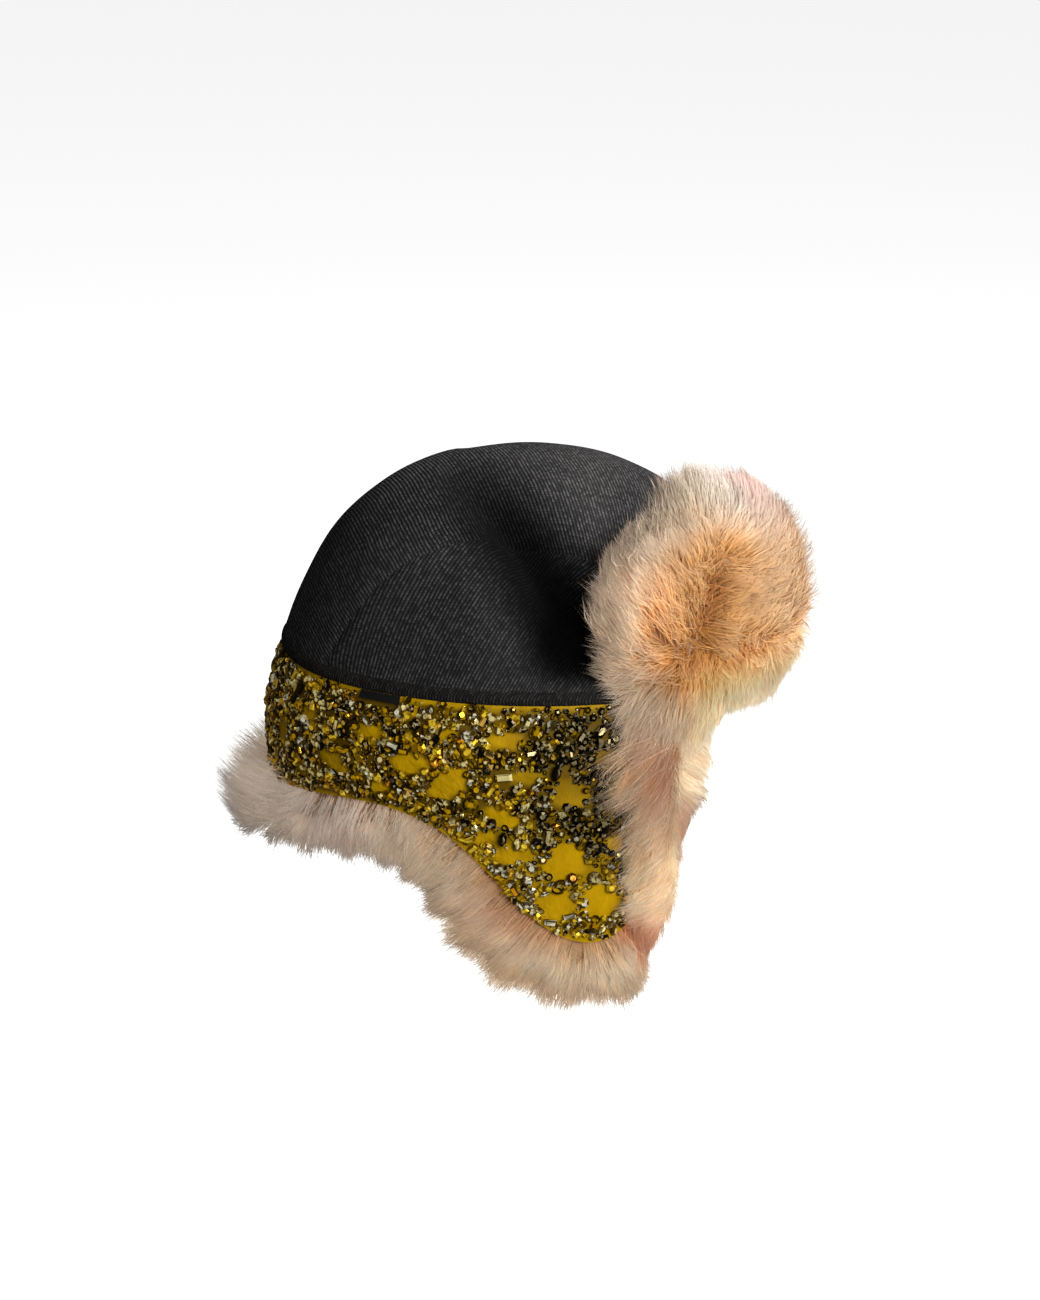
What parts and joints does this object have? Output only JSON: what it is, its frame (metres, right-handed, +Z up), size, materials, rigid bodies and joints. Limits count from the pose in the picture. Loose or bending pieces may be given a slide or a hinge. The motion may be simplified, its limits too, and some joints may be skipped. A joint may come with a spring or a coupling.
{
  "type": "fur-lined winter hat with ear flaps",
  "caption": "Winter hat with a domed three-panel wool crown, a band sewn with cut stones that hangs down into two ear flaps, a fur lining and a turned-up fur front flap.",
  "frame": {"origin": "middle of the head opening, level with the crown's lower edge, where a head holds the hat", "axes": "+X towards the front of the hat, +Y to the wearer's left, +Z up"},
  "size_m": [0.2627, 0.2012, 0.2347],
  "materials": {
    "wool": "charcoal wool twill",
    "band_cloth": "mustard yellow satin cloth",
    "fur": "dyed long-pile shearling, cream to peach",
    "stones": "cut crystals in graphite, champagne and gold",
    "label": "black woven tape, blank"
  },
  "bodies": {
    "root": {"crown_centre": "wool", "crown_side_right": "wool", "crown_side_left": "wool", "binding": "wool", "band": "band_cloth", "brow_band": "wool", "fur_lining": "fur", "front_flap": "fur", "stones_right": "stones", "stones_left": "stones", "side_label": "label"}
  },
  "joints": []
}
